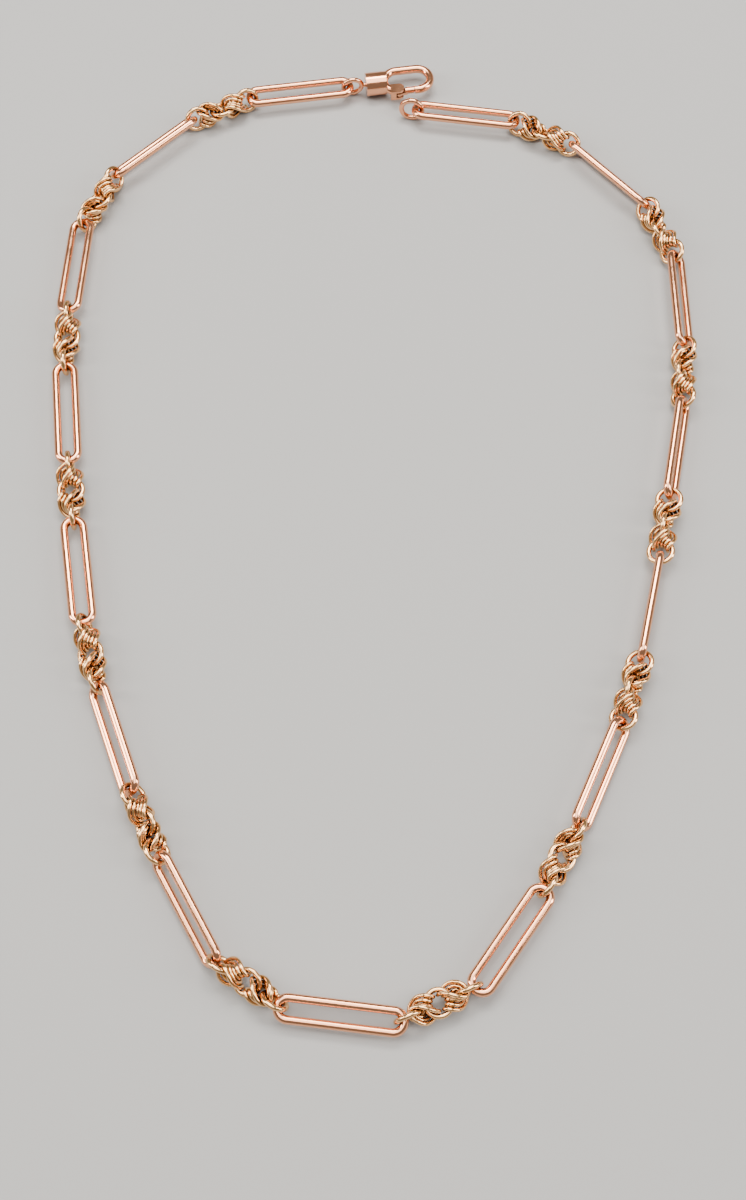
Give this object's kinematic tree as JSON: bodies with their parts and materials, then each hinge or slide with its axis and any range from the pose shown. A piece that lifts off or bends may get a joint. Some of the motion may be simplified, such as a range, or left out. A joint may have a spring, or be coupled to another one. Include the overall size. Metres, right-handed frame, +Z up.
{
  "type": "pocket watch chain",
  "caption": "Chain of long oval links and short knots of bound rings, with a swivel clip at one end and a ring at the other.",
  "frame": {"origin": "on the surface the chain lies on, under the middle of its outline", "axes": "+Z up from the surface; +Y along the length of the loop towards the clip and the end ring; +X to the right when the loop is seen from above with the clip at the top"},
  "size_m": [0.1248, 0.2025, 0.0054],
  "materials": {
    "rose_gold": "polished",
    "yellow_rose_gold": "polished",
    "spring_steel": "satin"
  },
  "bodies": {
    "link_00": {"link_00": "rose_gold"},
    "link_01": {"link_01": "rose_gold"},
    "link_02": {"link_02": "rose_gold"},
    "link_03": {"link_03": "rose_gold"},
    "link_04": {"link_04": "rose_gold"},
    "link_05": {"link_05": "rose_gold"},
    "link_06": {"link_06": "rose_gold"},
    "link_07": {"link_07": "rose_gold"},
    "link_08": {"link_08": "rose_gold"},
    "link_09": {"link_09": "rose_gold"},
    "link_10": {"link_10": "rose_gold"},
    "link_11": {"link_11": "rose_gold"},
    "link_12": {"link_12": "rose_gold"},
    "link_13": {"link_13": "rose_gold"},
    "link_14": {"link_14": "rose_gold"},
    "knot_00": {"knot_00_rings": "yellow_rose_gold", "knot_00_loops": "yellow_rose_gold"},
    "knot_01": {"knot_01_rings": "yellow_rose_gold", "knot_01_loops": "yellow_rose_gold"},
    "knot_02": {"knot_02_rings": "yellow_rose_gold", "knot_02_loops": "yellow_rose_gold"},
    "knot_03": {"knot_03_rings": "yellow_rose_gold", "knot_03_loops": "yellow_rose_gold"},
    "knot_04": {"knot_04_rings": "yellow_rose_gold", "knot_04_loops": "yellow_rose_gold"},
    "knot_05": {"knot_05_rings": "yellow_rose_gold", "knot_05_loops": "yellow_rose_gold"},
    "knot_06": {"knot_06_rings": "yellow_rose_gold", "knot_06_loops": "yellow_rose_gold"},
    "knot_07": {"knot_07_rings": "yellow_rose_gold", "knot_07_loops": "yellow_rose_gold"},
    "knot_08": {"knot_08_rings": "yellow_rose_gold", "knot_08_loops": "yellow_rose_gold"},
    "knot_09": {"knot_09_rings": "yellow_rose_gold", "knot_09_loops": "yellow_rose_gold"},
    "knot_10": {"knot_10_rings": "yellow_rose_gold", "knot_10_loops": "yellow_rose_gold"},
    "knot_11": {"knot_11_rings": "yellow_rose_gold", "knot_11_loops": "yellow_rose_gold"},
    "knot_12": {"knot_12_rings": "yellow_rose_gold", "knot_12_loops": "yellow_rose_gold"},
    "knot_13": {"knot_13_rings": "yellow_rose_gold", "knot_13_loops": "yellow_rose_gold"},
    "clip_swivel": {"clip_swivel": "rose_gold"},
    "clip_body": {"clip_body": "rose_gold", "clip_pin": "rose_gold"},
    "clip_gate": {"clip_gate": "rose_gold", "clip_spring": "spring_steel"},
    "end_ring": {"end_ring": "rose_gold"}
  },
  "joints": [
    {"name": "knot_07_swing", "type": "hinge", "parent": "link_07", "child": "knot_07", "pos_m": [0.00493, -0.09898, 0.00267], "axis": [0.1171, 0.9541, 0.2756], "range_deg": [-50, 60]},
    {"name": "link_08_turn", "type": "hinge", "parent": "knot_07", "child": "link_08", "pos_m": [0.01768, -0.09255, 0.00267], "axis": [0.0566, -0.1271, 0.9903], "range_deg": [-45, 10]},
    {"name": "knot_08_swing", "type": "hinge", "parent": "link_08", "child": "knot_08", "pos_m": [0.02899, -0.0764, 0.00267], "axis": [0.8192, -0.5736, 0], "range_deg": [-30, 40]},
    {"name": "link_09_turn", "type": "hinge", "parent": "knot_08", "child": "link_09", "pos_m": [0.03581, -0.06408, 0.00267], "axis": [-0.354, 0.2003, -0.9135], "range_deg": [-45, 45]},
    {"name": "knot_09_swing", "type": "hinge", "parent": "link_09", "child": "knot_09", "pos_m": [0.0438, -0.04604, 0.00267], "axis": [-0.6113, 0.2722, 0.7431], "range_deg": [-60, 50]},
    {"name": "link_10_turn", "type": "hinge", "parent": "knot_09", "child": "link_10", "pos_m": [0.04818, -0.03266, 0.00267], "axis": [0.8793, -0.2942, 0.3746], "range_deg": [-45, 45]},
    {"name": "knot_10_swing", "type": "hinge", "parent": "link_10", "child": "knot_10", "pos_m": [0.05249, -0.01341, 0.00267], "axis": [0.034, -0.0079, -0.9994], "range_deg": [-40, 60]},
    {"name": "link_11_turn", "type": "hinge", "parent": "knot_10", "child": "link_11", "pos_m": [0.05542, 0.00036, 0.00267], "axis": [-0.9448, 0.2008, -0.2588], "range_deg": [-45, 45]},
    {"name": "knot_11_swing", "type": "hinge", "parent": "link_11", "child": "knot_11", "pos_m": [0.05917, 0.01973, 0.00267], "axis": [-0.4608, 0.0896, 0.8829], "range_deg": [-60, 60]},
    {"name": "link_12_turn", "type": "hinge", "parent": "knot_11", "child": "link_12", "pos_m": [0.06033, 0.03376, 0.00267], "axis": [0.8059, -0.0705, 0.5878], "range_deg": [-45, 45]},
    {"name": "knot_12_swing", "type": "hinge", "parent": "link_12", "child": "knot_12", "pos_m": [0.05994, 0.05348, 0.00267], "axis": [0.6946, 0.0121, -0.7193], "range_deg": [-60, 60]},
    {"name": "link_13_turn", "type": "hinge", "parent": "knot_12", "child": "link_13", "pos_m": [0.05433, 0.06644, 0.00267], "axis": [-0.7206, -0.2911, -0.6293], "range_deg": [-45, 45]},
    {"name": "knot_13_swing", "type": "hinge", "parent": "link_13", "child": "knot_13", "pos_m": [0.0407, 0.08073, 0.00267], "axis": [-0.409, -0.3814, 0.829], "range_deg": [-5, 30]},
    {"name": "link_14_turn", "type": "hinge", "parent": "knot_13", "child": "link_14", "pos_m": [0.02808, 0.08701, 0.00267], "axis": [0.2515, 0.4831, 0.8387], "range_deg": [-10, 45]},
    {"name": "knot_06_swing", "type": "hinge", "parent": "link_07", "child": "knot_06", "pos_m": [-0.01601, -0.09641, 0.00267], "axis": [-0.1171, -0.9541, -0.2756], "range_deg": [-60, 10]},
    {"name": "link_06_turn", "type": "hinge", "parent": "knot_06", "child": "link_06", "pos_m": [-0.02746, -0.08796, 0.00267], "axis": [0.3207, 0.4755, -0.8192], "range_deg": [-45, 45]},
    {"name": "knot_05_swing", "type": "hinge", "parent": "link_06", "child": "knot_05", "pos_m": [-0.0368, -0.07056, 0.00267], "axis": [0.5141, 0.285, 0.809], "range_deg": [-60, 60]},
    {"name": "link_05_turn", "type": "hinge", "parent": "knot_05", "child": "link_05", "pos_m": [-0.04258, -0.05772, 0.00267], "axis": [-0.6971, -0.3177, 0.6428], "range_deg": [-45, 45]},
    {"name": "knot_04_swing", "type": "hinge", "parent": "link_05", "child": "knot_04", "pos_m": [-0.0493, -0.03917, 0.00267], "axis": [-0.6528, -0.2376, -0.7193], "range_deg": [-35, 40]},
    {"name": "link_04_turn", "type": "hinge", "parent": "knot_04", "child": "link_04", "pos_m": [-0.05273, -0.02552, 0.00267], "axis": [0.3783, 0.0978, -0.9205], "range_deg": [-45, 45]},
    {"name": "knot_03_swing", "type": "hinge", "parent": "link_04", "child": "knot_03", "pos_m": [-0.05582, -0.00604, 0.00267], "axis": [0.9877, 0.1564, 0], "range_deg": [-60, 60]},
    {"name": "link_03_turn", "type": "hinge", "parent": "knot_03", "child": "link_03", "pos_m": [-0.05762, 0.00792, 0.00267], "axis": [0, 0, 1], "range_deg": [-45, 45]},
    {"name": "knot_02_swing", "type": "hinge", "parent": "link_03", "child": "knot_02", "pos_m": [-0.05968, 0.02754, 0.00267], "axis": [-0.9945, -0.1045, 0], "range_deg": [-60, 60]},
    {"name": "link_02_turn", "type": "hinge", "parent": "knot_02", "child": "link_02", "pos_m": [-0.05981, 0.04162, 0.00267], "axis": [0.0871, 0.0015, -0.9962], "range_deg": [-45, 45]},
    {"name": "knot_01_swing", "type": "hinge", "parent": "link_02", "child": "knot_01", "pos_m": [-0.05843, 0.06129, 0.00267], "axis": [0.9824, -0.0687, 0.1736], "range_deg": [-40, 60]},
    {"name": "link_01_turn", "type": "hinge", "parent": "knot_01", "child": "link_01", "pos_m": [-0.05188, 0.07387, 0.00267], "axis": [-0.4237, 0.2021, 0.8829], "range_deg": [-45, 45]},
    {"name": "knot_00_swing", "type": "hinge", "parent": "link_01", "child": "knot_00", "pos_m": [-0.03734, 0.08721, 0.00267], "axis": [-0.4738, 0.508, -0.7193], "range_deg": [-25, 45]},
    {"name": "link_00_turn", "type": "hinge", "parent": "knot_00", "child": "link_00", "pos_m": [-0.02449, 0.09302, 0.00267], "axis": [0.1682, -0.3527, -0.9205], "range_deg": [-45, 45]},
    {"name": "clip_swing", "type": "hinge", "parent": "link_00", "child": "clip_swivel", "pos_m": [-0.00495, 0.09577, 0.00267], "axis": [0.1392, -0.9903, 0], "range_deg": [-60, 60]},
    {"name": "clip_swivel_turn", "type": "hinge", "parent": "clip_swivel", "child": "clip_body", "pos_m": [-0.00169, 0.09623, 0.00267], "axis": [0.9903, 0.1392, 0], "continuous": true},
    {"name": "clip_gate_open", "type": "hinge", "parent": "clip_body", "child": "clip_gate", "pos_m": [0.00523, 0.09447, 0.00267], "axis": [0, 0, 1], "range_deg": [0, 32], "stiffness_Nm_per_rad": 0.002, "springref_deg": -5.73},
    {"name": "end_ring_swing", "type": "hinge", "parent": "link_14", "child": "end_ring", "pos_m": [0.00854, 0.08975, 0.00267], "axis": [-0.1371, -0.9752, 0.1736], "range_deg": [-60, 60]}
  ]
}
